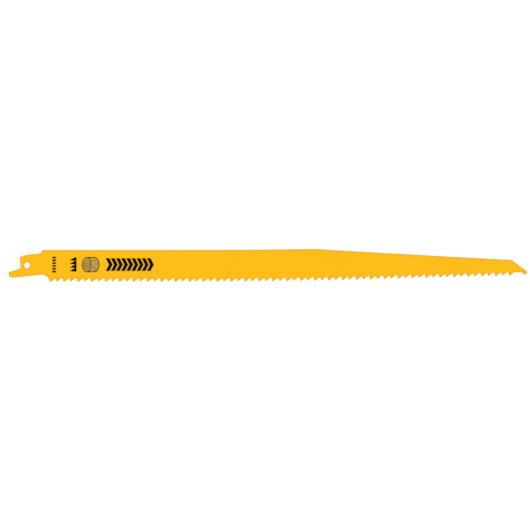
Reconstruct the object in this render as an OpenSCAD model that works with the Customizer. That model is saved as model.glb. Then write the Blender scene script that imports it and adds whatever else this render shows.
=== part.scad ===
// Reciprocating saw blade for wood: one steel strip, blanked, milled, set and painted.
// It lies flat. X runs from the tang to the nose, the teeth point to -Y, and Z is through the sheet.
// The origin is the centre of the tang hole, halfway through the sheet.

/* [Strip] */
// Thickness of the steel strip
blade_t = 1.27; // [0.9:0.01:1.6]
// Width from the back edge to the line of the tooth tips
blade_w = 19.65; // [18:0.05:25]
// From the tang hole down to the line of the tooth tips
tooth_line = 10.25; // [10:0.05:10.8]
// From the tang hole to the sharp corner of the nose
blade_reach = 304.5; // [260:0.1:340]

/* [Back edge] */
// From the tang hole to where the back edge begins, at the top of the ramp
back_start = 9.6; // [9:0.1:16]
// Steepness of the ramp from the tang up to the back edge
ramp_angle = 54; // [35:1:70]
// Radius at the foot of the ramp
ramp_foot_r = 0.8; // [0.2:0.1:1.2]
// Radius at the top of the ramp
ramp_top_r = 0.5; // [0.2:0.1:1]
// From the tang hole to the point where the back starts to taper
taper_start = 175; // [150:0.1:200]
// Angle of the taper to the line of the teeth
taper_angle = 4.75; // [3:0.01:5]
// Radius of the soft bend where the taper starts
taper_bend_r = 60; // [5:1:120]

/* [Camber] */
// Angle by which the strip curves towards its back between the two ends of the camber
camber_angle = 1.6; // [0.2:0.1:3]
// From the tang hole to where the camber begins
camber_start = 105; // [60:1:130]
// Length of strip over which it curves
camber_run = 106; // [50:1:120]

/* [Tang] */
// Width of the tang, between its two parallel edges
tang_w = 13; // [12:0.1:14]
// How far the tang's centre line runs below the hole's centre
tang_drop = 0.05; // [0:0.05:0.4]
// Tilt of the tang to the line of the teeth
tang_tilt = 5.7; // [0:0.1:7]
// Diameter of the hole for the saw's locking pin
hole_d = 3.7; // [3:0.1:5]
// From the hole's centre to the shoulder in front of it
shoulder_out = 4.15; // [3.4:0.05:5]
// Lean of the shoulder from square
shoulder_lean = 2; // [0:0.5:8]
// From the hole's centre down to the inner corner of the shoulder
shoulder_drop = 1.5; // [1:0.05:2.5]
// From the hole's centre to the end of the tail
tail_out = 11.7; // [9:0.1:14]
// Angle of the two slanted lead-in edges, on the tail and above the shoulder
lead_angle = 11; // [5:0.5:14]
// From the hole's centre along the tang to the end of the upper lead-in edge
lead_end = 0.8; // [0:0.1:3]
// Radius of the tail's lower corner
tail_r = 2.3; // [0.5:0.1:2.5]
// Radius of the tail's upper corner
tail_top_r = 0.3; // [0.1:0.1:0.5]
// Radius of the inner corner between tail and shoulder
shoulder_inner_r = 1.1; // [0.3:0.1:1.4]
// Radius of the shoulder's upper corner
shoulder_top_r = 0.4; // [0.1:0.05:0.8]
// Radius of the sweep from the tang's lower edge into the first tooth
throat_r = 4.3; // [2:0.1:4.5]

/* [Teeth] */
// Teeth to the inch
teeth_per_inch = 6; // [5:0.5:8]
// From the tang hole to the first tooth tip
first_tip = 13.9; // [13.5:0.05:20]
// How far each second tooth stands back towards the tang from even spacing
stagger = 0.12; // [0:0.01:0.25]
// How much shorter each second tooth is
second_drop = 0.3; // [0:0.01:0.35]
// Angle of a tooth's back to the line of the teeth
flank_angle = 36.5; // [33:0.5:40]
// Lean of a tooth's cutting face from square
face_lean = 18.5; // [12:0.5:24]
// Root radius of the narrow gullets
narrow_gullet_r = 0.45; // [0.3:0.05:0.8]
// Root radius of the wide gullets
wide_gullet_r = 0.35; // [0.3:0.05:0.8]
// Height of the tooth tips that are bent sideways, from the tip line to the bend
set_h = 1.1; // [0.9:0.05:1.15]
// Angle by which a set tooth is bent out of the sheet
set_angle = 16; // [8:0.5:20]

/* [Nose] */
// Slope of the plunge edge to the line of the teeth
plunge_angle = 38.3; // [33:0.1:45]
// Height of the nose corner above the line of the tooth tips
nose_h = 2.15; // [1.9:0.05:2.6]
// Width of the hook's cut end
hook_w = 2.7; // [2.2:0.1:3]
// Angle of the hook's cut end, below the line of the teeth
hook_end_angle = 43.5; // [35:0.5:47]
// Angle of the hook's rear face
hook_rear_angle = 44; // [38:0.5:60]
// Height of the flat clearance notch above the line of the tooth tips
notch_h = 2.15; // [1.9:0.05:2.4]
// Least length of the flat part of the notch
notch_flat = 4; // [3:0.1:8]
// Radius at the two ends of the notch
notch_r = 0.45; // [0.1:0.05:0.6]
// Radius of the nose corner
nose_r = 0.45; // [0.1:0.05:0.6]
// Radius of the hook's point
hook_r = 0.15; // [0.05:0.05:0.3]
// Radius where the taper meets the plunge edge
plunge_top_r = 0.8; // [0.1:0.1:2]

/* [Hidden] */

inch = 25.4;
pitch = inch / teeth_per_inch;
tip_y = -tooth_line;
back_y = blade_w - tooth_line;
bend_y = tip_y + set_h;
notch_y = tip_y + notch_h;
camber_end = camber_start + camber_run;
camber_radius = camber_run / (camber_angle * PI / 180);
// A rounded corner has a point each time it has turned this far
arc_step = 10;
// A long edge has a point this often where the strip is cambered
camber_step = 8;
// Extra length of a shape that cuts or is cut, past the faces it goes through
spare = 1;
// The straight sheet ends this far above the bend, and the bent pieces reach up into it
sheet_gap = 0.15;

// Unit vector at an angle from +X
function heading(angle) = [cos(angle), sin(angle)];

function cross_z(a, b) = a.x * b.y - a.y * b.x;

// Where the line through p along u meets the line through q along v
function meet(p, u, q, v) = p + u * cross_z(q - p, v) / cross_z(u, v);

// A point of the tang, from the tang's own frame to the blade's
function from_tang(p) =
    [p.x * cos(tang_tilt) - p.y * sin(tang_tilt), p.x * sin(tang_tilt) + p.y * cos(tang_tilt)];

// How far the camber has turned the strip at x
function camber_turn(x) = camber_angle * min(max(x - camber_start, 0), camber_run) / camber_run;

// Puts the strip's gentle camber into a point of the straight layout
function cambered(p) =
    let (
        turn = camber_turn(p.x),
        arc = (camber_radius - p.y) * [sin(turn), -cos(turn)],
        past = min(p.x - camber_start, 0) + max(p.x - camber_end, 0)
    )
    [camber_start, camber_radius] + arc + past * heading(turn);

// The arc that rounds the corner q between the edges from p and to r
function corner_arc(p, q, r, radius) =
    let (
        u = (q - p) / norm(q - p),
        v = (r - q) / norm(r - q),
        turn = atan2(cross_z(u, v), u * v),
        side = sign(turn),
        centre = q - u * radius * tan(abs(turn) / 2) + side * radius * [-u.y, u.x],
        start = atan2(u.y, u.x) - side * 90,
        steps = max(2, ceil(abs(turn) / arc_step))
    )
    [for (k = [0 : steps]) centre + radius * heading(start + turn * k / steps)];

// Corners, each a point and a radius, become one outline
function rounded(corners) =
    let (count = len(corners))
    [
        for (k = [0 : count - 1])
        let (
            before = corners[(k + count - 1) % count][0],
            here = corners[k][0],
            after = corners[(k + 1) % count][0],
            radius = corners[k][1]
        )
        each radius == 0 ? [here] : corner_arc(before, here, after, radius)
    ];

// The taper and the plunge edge meet above the hook
nose = [blade_reach, tip_y + nose_h];
taper_top = [taper_start, back_y];
plunge_top = meet(taper_top, heading(-taper_angle), nose, heading(180 - plunge_angle));
hook_point = nose + hook_w * heading(180 + hook_end_angle);
hook_root = meet(hook_point, heading(180 - hook_rear_angle), [0, notch_y], [1, 0]);

// The tang's edges in its own frame: parallel sides, a shoulder, and a tail that narrows
tang_top = tang_w / 2 - tang_drop;
tang_bottom = tang_top - tang_w;
shoulder_foot = [-shoulder_out, -shoulder_drop];
shoulder_slant = heading(90 - shoulder_lean);
shoulder_head = meet(shoulder_foot, shoulder_slant, [lead_end, tang_top], heading(lead_angle));
tail_foot = [-tail_out, tang_bottom];
tail_head = meet(shoulder_foot, heading(lead_angle), tail_foot, shoulder_slant);

// The ramp rises from the tang's upper edge to the back
back_corner = [back_start, back_y];
ramp_foot = meet(back_corner, heading(ramp_angle), from_tang([0, tang_top]), heading(tang_tilt));

function is_second(i) = i % 2 == 1;

function tip(i) = [
    first_tip + i * pitch - (is_second(i) ? stagger : 0),
    tip_y + (is_second(i) ? second_drop : 0)
];

// A tooth's cutting face and its back, each as a heading up from the tip
face = heading(90 + face_lean);
flank = heading(flank_angle);

// The corner of the gullet after tooth i, before it is rounded
function gullet_root(i) = meet(tip(i), flank, tip(i + 1), face);

// The corner where the tang's lower edge meets the first tooth's cutting face
throat = meet(from_tang(tail_foot), heading(tang_tilt), tip(0), face);

// The last tooth leaves room for its own back and for the flat of the notch
last_back_run = notch_h / tan(flank_angle);
tooth_count = floor((hook_root.x - notch_flat - last_back_run - first_tip) / pitch) + 1;
notch_start = meet(tip(tooth_count - 1), flank, [0, notch_y], [1, 0]);

// Raker set: one tooth to each side, then one left straight. The first goes down, to rest on.
function set_side(i) = [-1, 1, 0][i % 3];

// Where the long edges get points of their own, so that they follow the camber
camber_marks = [for (x = [camber_end : -camber_step : camber_start]) x];

// The back edge's height in the straight layout
function back_at(x) = back_y - max(x - taper_start, 0) * tan(taper_angle);

function back_marks(from, to) = [
    for (x = camber_marks) if (x > from && x < to) [[x, back_at(x)], 0]
];

// The whole outline in the straight layout, from the ramp round by the tang, teeth and nose
outline_corners = [
    [back_corner, ramp_top_r],
    [ramp_foot, ramp_foot_r],
    [from_tang([lead_end, tang_top]), 0],
    [from_tang(shoulder_head), shoulder_top_r],
    [from_tang(shoulder_foot), shoulder_inner_r],
    [from_tang(tail_head), tail_top_r],
    [from_tang(tail_foot), tail_r],
    [throat, throat_r],
    for (i = [0 : tooth_count - 2]) each [
        [tip(i), 0],
        [gullet_root(i), is_second(i) ? wide_gullet_r : narrow_gullet_r]
    ],
    [tip(tooth_count - 1), 0],
    [notch_start, notch_r],
    [hook_root, notch_r],
    [hook_point, hook_r],
    [nose, nose_r],
    [plunge_top, plunge_top_r],
    each back_marks(taper_start + camber_step / 2, camber_end + spare),
    [taper_top, taper_bend_r],
    each back_marks(0, taper_start - camber_step / 2)
];

// Everything inside the outline, deep enough for the set of the teeth
module outline_block() {
    depth = 4 * blade_t;
    translate([0, 0, -depth / 2])
        linear_extrude(depth) polygon([for (p = rounded(outline_corners)) cambered(p)]);
}

// The flat sheet: it ends above the bends of the teeth, and is whole at the hook
module flat_sheet() {
    low = bend_y + sheet_gap;
    far_low = tip_y - spare;
    high = back_y + spare;
    start = -tail_out - 2 * spare;
    end = blade_reach + 2 * spare;
    hook_side = hook_root.x - notch_flat / 2;
    corners = [
        [end, far_low],
        [end, high],
        [start, high],
        [start, low],
        for (k = [len(camber_marks) - 1 : -1 : 0]) [camber_marks[k], low],
        [hook_side, low],
        [hook_side, far_low]
    ];
    translate([0, 0, -blade_t / 2])
        linear_extrude(blade_t) polygon([for (p = corners) cambered(p)]);
}

// The sheet's section at tooth i, with its lower end bent to the side, as [y, z] from the bend
function bent_section(i) =
    let (
        angle = set_angle * set_side(i),
        half = blade_t / 2,
        shift = half * tan(angle / 2),
        down = (set_h + spare) * [-cos(angle), sin(angle)],
        across = half * [sin(angle), cos(angle)]
    )
    [
        [spare / 2, half],
        [spare / 2, -half],
        [-shift, -half],
        down - across,
        down + across,
        [shift, half]
    ];

// The piece of bent sheet that tooth i's tip is cut from
module bent_piece(i) {
    left = tip(i).x - set_h * tan(face_lean) - sheet_gap;
    right = tip(i).x + (set_h + sheet_gap) / tan(flank_angle) + sheet_gap;
    translate(cambered([tip(i).x, bend_y]))
        rotate(camber_turn(tip(i).x))
        translate([left - tip(i).x, 0, 0])
        rotate([90, 0, 90])
        linear_extrude(right - left) polygon(bent_section(i));
}

// The round hole for the saw's locking pin
module pin_hole() {
    translate([0, 0, -blade_t / 2 - spare])
        cylinder(h = blade_t + 2 * spare, d = hole_d, $fn = 96);
}

module blade() {
    color("gold")
        difference() {
            intersection() {
                outline_block();
                union() {
                    flat_sheet();
                    for (i = [0 : tooth_count - 1]) bent_piece(i);
                }
            }
            pin_hole();
        }
}

blade();
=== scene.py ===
import math

import bmesh
import bpy
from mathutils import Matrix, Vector


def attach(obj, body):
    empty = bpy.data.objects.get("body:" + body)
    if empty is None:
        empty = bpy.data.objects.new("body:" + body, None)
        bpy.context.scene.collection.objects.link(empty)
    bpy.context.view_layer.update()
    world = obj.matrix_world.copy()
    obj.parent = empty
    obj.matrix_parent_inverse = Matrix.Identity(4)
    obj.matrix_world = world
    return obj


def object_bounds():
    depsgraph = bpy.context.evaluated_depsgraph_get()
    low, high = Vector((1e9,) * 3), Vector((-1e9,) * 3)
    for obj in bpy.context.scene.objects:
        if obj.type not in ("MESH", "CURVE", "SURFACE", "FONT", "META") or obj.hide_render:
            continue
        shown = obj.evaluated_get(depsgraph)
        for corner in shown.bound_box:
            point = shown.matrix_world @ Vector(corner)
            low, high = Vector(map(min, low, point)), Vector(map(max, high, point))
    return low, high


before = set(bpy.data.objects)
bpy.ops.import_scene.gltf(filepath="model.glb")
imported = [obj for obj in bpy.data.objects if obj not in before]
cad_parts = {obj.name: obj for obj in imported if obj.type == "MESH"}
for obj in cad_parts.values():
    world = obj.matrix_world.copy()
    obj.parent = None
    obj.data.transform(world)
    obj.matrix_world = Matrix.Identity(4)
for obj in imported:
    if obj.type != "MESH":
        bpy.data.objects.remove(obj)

cad_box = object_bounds()

MM = 0.001

# The photograph looks straight down at the blade. It is this many pixels wide and high.
PHOTO_SIDE = 530
# Millimetres to the pixel, and the pixel at the centre of the tang hole
PIXEL = 0.60807
HOLE_PX = (26.95, 265.41)

# Half the thickness of the sheet, which is the height of its printed face
FACE_Z = 0.635

# Enamel: its colour, and a deeper tone that paints shade along the edges, where the coat is also
# thin, and tints its random clouds, each as linear red, green, blue
PAINT = (0.99, 0.505, 0.002, 1)
PAINT_DEEP_AND_SHADE = (0.55, 0.36, 0.003, 1)
# How much of the deeper tone there is at an edge, as painted shade, and in the clouds
EDGE_SHADE = 0.33
CLOUD_TINT = 0.05
# Its clouds, orange peel and grain, each a noise with its scale, to the metre, and its detail
CLOUDS = (45, 3)
PEEL = (1000, 2)
GRAIN = (5200, 3)
# Depth of the orange peel in millimetres, and how strongly it shows
PEEL_DEPTH = 0.04
PEEL_STRENGTH = 0.4
PAINT_ROUGHNESS = (0.34, 0.46)
PAINT_SPECULAR = 0.2
COAT_WEIGHT = 0.12
COAT_ROUGHNESS = 0.16
# Radii that edges are rounded with, for their shine, and for the painted shade along them, in
# millimetres
SOFT_EDGE = 0.3
SHADED_EDGE = 1.8
BEVEL_SAMPLES = 6
# How well the rounded normal agrees with the true one where the painted edge shade starts, and
# where it is full
SHADE_STARTS = 0.9995
SHADE_FULL = 0.985

# Inks: the colour, the colour where the ink is thin, and the noise level where that starts
BLACK_INK = ((0.0015, 0.0014, 0.001, 1), (0.02, 0.012, 0.002, 1), 0.62)
TAN_INK = ((0.62, 0.40, 0.095, 1), (0.48, 0.28, 0.05, 1), 0.45)
# How much higher the noise is where the thin ink's colour is full
INK_FADE = 0.12
# That noise: its scale, to the metre, its detail and its roughness
SPECKLE = (3800, 3, 0.6)
INK_ROUGHNESS = (0.48, 0.62)
INK_SPECULAR = 0.1
INK_BUMP_DEPTH = 0.01
INK_BUMP_STRENGTH = 0.2

# How far ink stands on the face and reaches into it, and how much higher each next line lies
INK_T = 0.02
LINE_STEP = 0.001
# Widths of the drawn lines
BOLD = 0.5
THIN = 0.3
# An arc has a point each time it has turned this far, in degrees
ARC_STEP = 8

# Places of the marks on the photograph, in pixels: left, bottom, right, top
TICKS_PX = (52.3, 272.5, 55.9, 256.7)
TEETH_PX = (69.4, 271.6, 76.5, 257.2)
LOG_PX = (82.0, 272.2, 99.4, 257.2)
CHEVRONS_PX = (105.6, 271.0, 155.2, 258.2)

# The column of ticks: how many, and the share of each step that is ink
TICK_COUNT = 6
TICK_SHARE = 0.64
# The sign for coarse teeth: its teeth, the width of its bar, and how high in its step a tip is
SIGN_TEETH = 4
SIGN_BAR = 0.95
SIGN_TIP = 0.12
# The log: its end is this narrow for its height, and has year rings as shares of it with widths
LOG_END = 0.62
LOG_RINGS = ((1.0, BOLD), (0.62, THIN), (0.28, THIN))
# Lines of bark, each with its height on the log, and the shares of its length where it lies
BARK = ((0.55, 0.22, 0.72), (0.1, 0.4, 0.9), (-0.35, 0.18, 0.63), (-0.68, 0.45, 0.85))
# The row of chevrons: how many, how far they point, and the share of each step that is ink
CHEVRON_COUNT = 9
CHEVRON_POINT = 2.0
CHEVRON_SHARE = 0.74

# White paper under the blade: it is lit, and glows a little for the camera, to read as white
FLOOR_HALF = 3.0
FLOOR_COLOUR = (0.36, 0.36, 0.36, 1)
FLOOR_GLOW = 0.76
# Its fibres: a noise with its scale and detail, how strongly it shows, and its depth
FIBRES = (900, 4)
FIBRE_STRENGTH = 0.03
FIBRE_DEPTH = 0.02

# Light and camera, in metres and watts
WHITE = (1, 1, 1, 1)
WORLD_LIGHT = 0.22
WORLD_SEEN = 1.0
LAMP_COUNT = 4
LAMP_DISTANCE = 1.5
LAMP_HEIGHT = 1.15
LAMP_SIZE = 0.9
LAMP_POWER = 12.5
CAMERA_HEIGHT = 1.6
CAMERA_CLIP = 20
SENSOR = 36.0

# The range that nearly all of a noise texture's values lie in
NOISE_LOW = 0.3
NOISE_HIGH = 0.7
# The sockets of a Mix node that are for colours
MIX_IN = (6, 7)
MIX_OUT = 2


def from_photo(px, py):
    """A pixel of the photograph, in millimetres on the blade."""
    return (px - HOLE_PX[0]) * PIXEL, (HOLE_PX[1] - py) * PIXEL


def area(place):
    """A mark's place in millimetres on the blade: left, bottom, right, top."""
    left, bottom, right, top = place
    return from_photo(left, bottom) + from_photo(right, top)


def new_material(name):
    mat = bpy.data.materials.new(name)
    mat.use_nodes = True
    mat.node_tree.nodes.clear()
    return mat, mat.node_tree.nodes, mat.node_tree.links


def add_noise(nodes, links, coords, scale, detail, roughness=0.5):
    noise = nodes.new("ShaderNodeTexNoise")
    noise.inputs["Scale"].default_value = scale
    noise.inputs["Detail"].default_value = detail
    noise.inputs["Roughness"].default_value = roughness
    links.new(coords.outputs["Object"], noise.inputs["Vector"])
    return noise.outputs["Fac"]


def add_range(nodes, links, source, low, high, to_low, to_high):
    """Maps source from low..high to to_low..to_high."""
    node = nodes.new("ShaderNodeMapRange")
    node.inputs["From Min"].default_value = low
    node.inputs["From Max"].default_value = high
    node.inputs["To Min"].default_value = to_low
    node.inputs["To Max"].default_value = to_high
    links.new(source, node.inputs["Value"])
    return node.outputs["Result"]


def add_mix(nodes, links, factor, first, second):
    """A colour between first and second, each a colour or a socket."""
    node = nodes.new("ShaderNodeMix")
    node.data_type = "RGBA"
    links.new(factor, node.inputs["Factor"])
    for socket, value in zip(MIX_IN, (first, second)):
        if isinstance(value, tuple):
            node.inputs[socket].default_value = value
        else:
            links.new(value, node.inputs[socket])
    return node.outputs[MIX_OUT]


def add_bump(nodes, links, height, strength, depth):
    bump = nodes.new("ShaderNodeBump")
    bump.inputs["Strength"].default_value = strength
    bump.inputs["Distance"].default_value = depth * MM
    links.new(height, bump.inputs["Height"])
    return bump


def add_bevel(nodes, radius):
    bevel = nodes.new("ShaderNodeBevel")
    bevel.samples = BEVEL_SAMPLES
    bevel.inputs["Radius"].default_value = radius * MM
    return bevel.outputs["Normal"]


def edge_shade(nodes, links):
    """How much painted shade there is along the edges: none on the flat, and most at an edge."""
    geometry = nodes.new("ShaderNodeNewGeometry")
    facing = nodes.new("ShaderNodeVectorMath")
    facing.operation = "DOT_PRODUCT"
    links.new(add_bevel(nodes, SHADED_EDGE), facing.inputs[0])
    links.new(geometry.outputs["True Normal"], facing.inputs[1])
    return add_range(nodes, links, facing.outputs["Value"], SHADE_STARTS, SHADE_FULL, 0, EDGE_SHADE)


def paint_material():
    """Smooth yellow enamel with a faint orange peel, and painted shade in a deeper colour along
    its edges.
    """
    mat, nodes, links = new_material("yellow_enamel")
    coords = nodes.new("ShaderNodeTexCoord")
    shader = nodes.new("ShaderNodeBsdfPrincipled")
    output = nodes.new("ShaderNodeOutputMaterial")
    clouds = add_noise(nodes, links, coords, *CLOUDS)
    peel = add_noise(nodes, links, coords, *PEEL)
    grain = add_noise(nodes, links, coords, *GRAIN)

    tone = add_range(nodes, links, clouds, NOISE_LOW, NOISE_HIGH, 0, CLOUD_TINT)
    body = add_mix(nodes, links, tone, PAINT, PAINT_DEEP_AND_SHADE)
    # Painted shade: the enamel's colour is made deeper near every edge
    colour = add_mix(nodes, links, edge_shade(nodes, links), body, PAINT_DEEP_AND_SHADE)
    links.new(colour, shader.inputs["Base Color"])

    gloss = add_range(nodes, links, grain, NOISE_LOW, NOISE_HIGH, *PAINT_ROUGHNESS)
    links.new(gloss, shader.inputs["Roughness"])
    shader.inputs["Specular IOR Level"].default_value = PAINT_SPECULAR
    shader.inputs["Coat Weight"].default_value = COAT_WEIGHT
    shader.inputs["Coat Roughness"].default_value = COAT_ROUGHNESS

    bump = add_bump(nodes, links, peel, PEEL_STRENGTH, PEEL_DEPTH)
    links.new(add_bevel(nodes, SOFT_EDGE), bump.inputs["Normal"])
    links.new(bump.outputs["Normal"], shader.inputs["Normal"])
    links.new(bump.outputs["Normal"], shader.inputs["Coat Normal"])
    links.new(shader.outputs["BSDF"], output.inputs["Surface"])
    return mat


def ink_material(name, colour, thin_colour, thin_from):
    """Flat printed ink with fine pinholes, where the coat is thin and the paint tints it."""
    mat, nodes, links = new_material(name)
    coords = nodes.new("ShaderNodeTexCoord")
    shader = nodes.new("ShaderNodeBsdfPrincipled")
    output = nodes.new("ShaderNodeOutputMaterial")
    speckle = add_noise(nodes, links, coords, *SPECKLE)
    thin = add_range(nodes, links, speckle, thin_from, thin_from + INK_FADE, 0, 1)
    links.new(add_mix(nodes, links, thin, colour, thin_colour), shader.inputs["Base Color"])
    matt = add_range(nodes, links, speckle, NOISE_LOW, NOISE_HIGH, *INK_ROUGHNESS)
    links.new(matt, shader.inputs["Roughness"])
    shader.inputs["Specular IOR Level"].default_value = INK_SPECULAR
    bump = add_bump(nodes, links, speckle, INK_BUMP_STRENGTH, INK_BUMP_DEPTH)
    links.new(bump.outputs["Normal"], shader.inputs["Normal"])
    links.new(shader.outputs["BSDF"], output.inputs["Surface"])
    return mat


def add_slab(made, rim, low, high):
    """A closed slab between two heights, whose outline is rim."""
    under = [made.verts.new((x * MM, y * MM, low * MM)) for x, y in rim]
    over = [made.verts.new((x * MM, y * MM, high * MM)) for x, y in rim]
    made.faces.new(list(reversed(under)))
    made.faces.new(over)
    for k in range(len(rim)):
        after = (k + 1) % len(rim)
        made.faces.new((under[k], under[after], over[after], over[k]))


def add_line(made, points, width, closed, low, high):
    """A closed bar of even width between two heights, along an open or closed line of points."""
    count = len(points)
    sections = []
    for k, (x, y) in enumerate(points):
        before = points[k - 1] if closed or k > 0 else points[k]
        after = points[(k + 1) % count] if closed or k < count - 1 else points[k]
        along = Vector((after[0] - before[0], after[1] - before[1])).normalized() * width / 2
        left = (x - along.y, y + along.x)
        right = (x + along.y, y - along.x)
        corners = ((*left, low), (*right, low), (*right, high), (*left, high))
        sections.append([made.verts.new(Vector(corner) * MM) for corner in corners])
    if not closed:
        made.faces.new(sections[0])
        made.faces.new(sections[-1])
    nexts = sections[1:] + (sections[:1] if closed else [])
    for here, there in zip(sections, nexts):
        for k in range(len(here)):
            after = (k + 1) % len(here)
            made.faces.new((here[k], here[after], there[after], there[k]))


def add_print(name, material, slabs=(), lines=()):
    """A printed layer: slabs of ink on the face, or lines of ink that lie on slabs."""
    low = FACE_Z - INK_T
    high = FACE_Z + INK_T
    made = bmesh.new()
    for rim in slabs:
        add_slab(made, rim, low, high)
    for k, line in enumerate(lines):
        add_line(made, *line, low, high + INK_T + k * LINE_STEP)
    bmesh.ops.recalc_face_normals(made, faces=made.faces)
    mesh = bpy.data.meshes.new(name)
    made.to_mesh(mesh)
    made.free()
    piece = bpy.data.objects.new(name, mesh)
    bpy.context.scene.collection.objects.link(piece)
    piece.data.materials.append(material)
    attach(piece, "root")


def arc(cx, cy, rx, ry, start, turn):
    """Points along an ellipse, both ends included, from the angle start on for turn degrees."""
    steps = math.ceil(abs(turn) / ARC_STEP)
    angles = [math.radians(start + turn * k / steps) for k in range(steps + 1)]
    return [(cx + rx * math.cos(angle), cy + ry * math.sin(angle)) for angle in angles]


def tick_column():
    """A ladder of equal short bars."""
    left, bottom, right, top = area(TICKS_PX)
    step = (top - bottom) / (TICK_COUNT - 1 + TICK_SHARE)
    bars = []
    for k in range(TICK_COUNT):
        low = bottom + k * step
        high = low + TICK_SHARE * step
        bars.append([(left, low), (right, low), (right, high), (left, high)])
    return bars


def tooth_sign():
    """A bar with a row of plain saw teeth, as a sign for coarse teeth."""
    left, bottom, right, top = area(TEETH_PX)
    root = right - SIGN_BAR
    step = (top - bottom) / SIGN_TEETH
    rim = [(right, bottom), (right, top), (root, top)]
    for k in reversed(range(SIGN_TEETH)):
        low = bottom + k * step
        rim += [(left, low + SIGN_TIP * step), (root, low)]
    return rim


def log_sign():
    """A sawn log seen from its end: the outline of its fill, and the lines that draw it."""
    left, bottom, right, top = area(LOG_PX)
    mid = (bottom + top) / 2
    ry = (top - bottom - BOLD) / 2
    rx = ry * LOG_END
    near = left + rx + BOLD / 2
    far = right - rx - BOLD / 2
    fill = arc(near, mid, rx, ry, 90, 180) + arc(far, mid, rx, ry, -90, 180)

    barrel = [(near, mid + ry)] + arc(far, mid, rx, ry, 90, -180) + [(near, mid - ry)]
    lines = [(barrel, BOLD, False)]
    for share, width in LOG_RINGS:
        ring = arc(near, mid, rx * share, ry * share, 0, 360)
        lines.append((ring[1:], width, True))
    for height, *shares in BARK:
        y = mid + height * ry
        edge = near + rx * math.sqrt(1 - height * height)
        lines.append(([(edge + share * (far - near), y) for share in shares], THIN, False))
    return fill, lines


def chevron_row():
    """A row of chevrons that point along the blade."""
    left, bottom, right, top = area(CHEVRONS_PX)
    mid = (bottom + top) / 2
    step = (right - left - CHEVRON_POINT) / CHEVRON_COUNT
    row = []
    for k in range(CHEVRON_COUNT):
        back = left + k * step
        front = back + CHEVRON_SHARE * step
        row.append([
            (back, bottom),
            (front, bottom),
            (front + CHEVRON_POINT, mid),
            (front, top),
            (back, top),
            (back + CHEVRON_POINT, mid),
        ])
    return row


def add_prints():
    black = ink_material("black_ink", *BLACK_INK)
    tan = ink_material("tan_ink", *TAN_INK)
    fill, lines = log_sign()
    add_print("print_ticks", black, slabs=tick_column())
    add_print("print_tooth_sign", black, slabs=[tooth_sign()])
    add_print("print_log_fill", tan, slabs=[fill])
    add_print("print_log_lines", black, lines=lines)
    add_print("print_chevrons", black, slabs=chevron_row())


def floor_material():
    """White paper, which keeps the shadow of what lies on it."""
    mat, nodes, links = new_material("floor_paper")
    coords = nodes.new("ShaderNodeTexCoord")
    fibres = add_noise(nodes, links, coords, *FIBRES)
    bump = add_bump(nodes, links, fibres, FIBRE_STRENGTH, FIBRE_DEPTH)
    diffuse = nodes.new("ShaderNodeBsdfDiffuse")
    diffuse.inputs["Color"].default_value = FLOOR_COLOUR
    links.new(bump.outputs["Normal"], diffuse.inputs["Normal"])
    path = nodes.new("ShaderNodeLightPath")
    strength = nodes.new("ShaderNodeMath")
    strength.operation = "MULTIPLY"
    strength.inputs[1].default_value = FLOOR_GLOW
    links.new(path.outputs["Is Camera Ray"], strength.inputs[0])
    glow = nodes.new("ShaderNodeEmission")
    links.new(strength.outputs["Value"], glow.inputs["Strength"])
    both = nodes.new("ShaderNodeAddShader")
    links.new(diffuse.outputs["BSDF"], both.inputs[0])
    links.new(glow.outputs["Emission"], both.inputs[1])
    output = nodes.new("ShaderNodeOutputMaterial")
    links.new(both.outputs["Shader"], output.inputs["Surface"])
    return mat


def add_floor():
    """The blade lies on the floor with its lowest tooth tips."""
    low = cad_box[0][2]
    corners = ((-1, -1), (1, -1), (1, 1), (-1, 1))
    points = [(x * FLOOR_HALF, y * FLOOR_HALF, low) for x, y in corners]
    mesh = bpy.data.meshes.new("floor")
    mesh.from_pydata(points, [], [(0, 1, 2, 3)])
    floor = bpy.data.objects.new("floor", mesh)
    bpy.context.scene.collection.objects.link(floor)
    floor.data.materials.append(floor_material())


def add_background(nodes, strength):
    background = nodes.new("ShaderNodeBackground")
    background.inputs["Color"].default_value = WHITE
    background.inputs["Strength"].default_value = strength
    return background.outputs["Background"]


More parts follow.
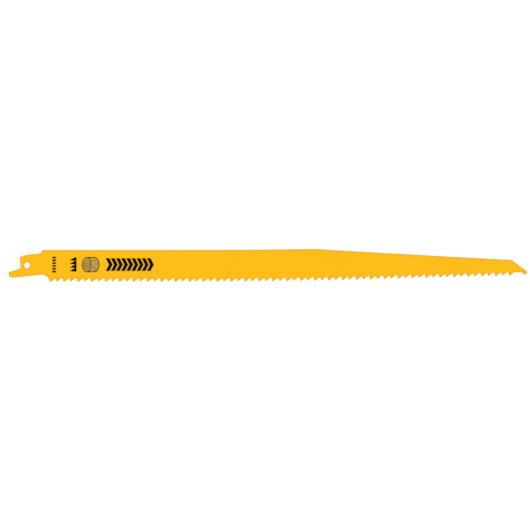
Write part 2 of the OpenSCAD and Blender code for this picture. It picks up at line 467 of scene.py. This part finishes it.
def set_world():
    """White to the camera, and a soft even light on the blade."""
    world = bpy.data.worlds.new("studio")
    world.use_nodes = True
    nodes, links = world.node_tree.nodes, world.node_tree.links
    nodes.clear()
    path = nodes.new("ShaderNodeLightPath")
    mix = nodes.new("ShaderNodeMixShader")
    output = nodes.new("ShaderNodeOutputWorld")
    links.new(path.outputs["Is Camera Ray"], mix.inputs["Fac"])
    links.new(add_background(nodes, WORLD_LIGHT), mix.inputs[1])
    links.new(add_background(nodes, WORLD_SEEN), mix.inputs[2])
    links.new(mix.outputs["Shader"], output.inputs["Surface"])
    bpy.context.scene.world = world


def photo_centre():
    """The point of the blade's face at the middle of the photograph, in metres."""
    x, y = from_photo(PHOTO_SIDE / 2, PHOTO_SIDE / 2)
    return Vector((x, y, FACE_Z)) * MM


def add_lamps():
    """Large soft lamps all round the blade, so that none is mirrored in its flat face."""
    for k in range(LAMP_COUNT):
        angle = 2 * math.pi * (k + 0.5) / LAMP_COUNT
        out = Vector((math.cos(angle), math.sin(angle), 0)) * LAMP_DISTANCE
        place = out + Vector((0, 0, LAMP_HEIGHT))
        data = bpy.data.lights.new(f"lamp_{k}", "AREA")
        data.shape = "SQUARE"
        data.size = LAMP_SIZE
        data.energy = LAMP_POWER
        lamp = bpy.data.objects.new(f"lamp_{k}", data)
        lamp.location = photo_centre() + place
        lamp.rotation_euler = (-place).to_track_quat("-Z", "Y").to_euler()
        bpy.context.scene.collection.objects.link(lamp)


def add_camera():
    """Straight above the blade, with the photograph's field of view."""
    data = bpy.data.cameras.new("camera")
    data.sensor_width = SENSOR
    data.sensor_fit = "HORIZONTAL"
    data.lens = SENSOR * CAMERA_HEIGHT / (PHOTO_SIDE * PIXEL * MM)
    data.clip_end = CAMERA_CLIP
    camera = bpy.data.objects.new("camera", data)
    camera.location = photo_centre() + Vector((0, 0, CAMERA_HEIGHT))
    bpy.context.scene.collection.objects.link(camera)
    bpy.context.scene.camera = camera


def dress_blade():
    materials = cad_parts["blade"].data.materials
    materials.clear()
    materials.append(paint_material())


dress_blade()
add_prints()
add_floor()
set_world()
add_lamps()
add_camera()
bpy.context.scene.view_settings.view_transform = "Standard"

bpy.context.view_layer.update()
